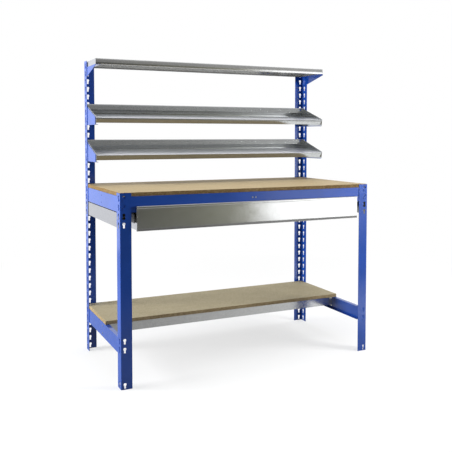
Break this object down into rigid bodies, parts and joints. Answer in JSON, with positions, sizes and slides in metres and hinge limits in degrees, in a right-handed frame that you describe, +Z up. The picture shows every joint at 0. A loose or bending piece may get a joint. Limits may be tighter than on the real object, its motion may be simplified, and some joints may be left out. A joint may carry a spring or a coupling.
{
  "type": "workbench",
  "caption": "Workbench with punched angle posts, hooked beams, a particle-board worktop, a wide shallow drawer, a half-depth lower shelf, two tilted trays and a top shelf.",
  "frame": {"origin": "on the floor, midway between the four posts", "axes": "+X to the right of a person who stands at the drawer, +Y to the back, +Z up"},
  "size_m": [1.2536, 0.6248, 1.425],
  "materials": {
    "blue_paint": "smooth semi-gloss powder coat",
    "galvanised_sheet": "galvanised, satin",
    "chipboard": "raw particle board, sanded face and cut edge",
    "nylon": "moulded nylon"
  },
  "bodies": {
    "frame": {"post_front_left": "blue_paint", "post_front_right": "blue_paint", "post_rear_left": "blue_paint", "post_rear_right": "blue_paint", "front_beam": "blue_paint", "rear_beam": "blue_paint", "lower_rear_beam": "blue_paint", "side_beam_left": "blue_paint", "side_beam_right": "blue_paint", "lower_side_beam_left": "blue_paint", "lower_side_beam_right": "blue_paint", "worktop_tie": "galvanised_sheet", "shelf_front_rail": "galvanised_sheet", "worktop": "chipboard", "lower_shelf_board": "chipboard", "drawer_guide_left": "galvanised_sheet", "drawer_guide_right": "galvanised_sheet", "cabinet_slide_left": "galvanised_sheet", "cabinet_slide_right": "galvanised_sheet", "top_shelf": "galvanised_sheet", "top_shelf_bracket_left": "blue_paint", "top_shelf_bracket_right": "blue_paint", "upper_tray": "galvanised_sheet", "upper_tray_bracket_left": "blue_paint", "upper_tray_bracket_right": "blue_paint", "lower_tray": "galvanised_sheet", "lower_tray_bracket_left": "blue_paint", "lower_tray_bracket_right": "blue_paint"},
    "drawer": {"drawer_pan": "galvanised_sheet", "drawer_side_left": "galvanised_sheet", "drawer_side_right": "galvanised_sheet", "drawer_front": "galvanised_sheet", "drawer_slide_left": "galvanised_sheet", "drawer_slide_right": "galvanised_sheet"},
    "front_roller_left": {"front_roller_left": "nylon"},
    "front_roller_right": {"front_roller_right": "nylon"},
    "rear_roller_left": {"rear_roller_left": "nylon"},
    "rear_roller_right": {"rear_roller_right": "nylon"}
  },
  "joints": [
    {"name": "drawer_travel", "type": "slide", "parent": "frame", "child": "drawer", "axis": [0, -1, 0], "range_m": [0, 0.37]},
    {"name": "front_roller_left_spin", "type": "hinge", "parent": "frame", "child": "front_roller_left", "pos_m": [-0.5545, -0.2852, 0.7095], "axis": [1, 0, 0], "range_deg": [0, 2500]},
    {"name": "front_roller_right_spin", "type": "hinge", "parent": "frame", "child": "front_roller_right", "pos_m": [0.5545, -0.2852, 0.7095], "axis": [1, 0, 0], "range_deg": [0, 2500]},
    {"name": "rear_roller_left_spin", "type": "hinge", "parent": "drawer", "child": "rear_roller_left", "pos_m": [-0.5545, 0.1708, 0.7095], "axis": [1, 0, 0], "range_deg": [0, 2500]},
    {"name": "rear_roller_right_spin", "type": "hinge", "parent": "drawer", "child": "rear_roller_right", "pos_m": [0.5545, 0.1708, 0.7095], "axis": [1, 0, 0], "range_deg": [0, 2500]}
  ],
  "couplings": [
    {"joint": "front_roller_left_spin", "follows": "drawer_travel", "rad_per_m": 117.65},
    {"joint": "front_roller_right_spin", "follows": "drawer_travel", "rad_per_m": 117.65},
    {"joint": "rear_roller_left_spin", "follows": "drawer_travel", "rad_per_m": 117.65},
    {"joint": "rear_roller_right_spin", "follows": "drawer_travel", "rad_per_m": 117.65}
  ]
}
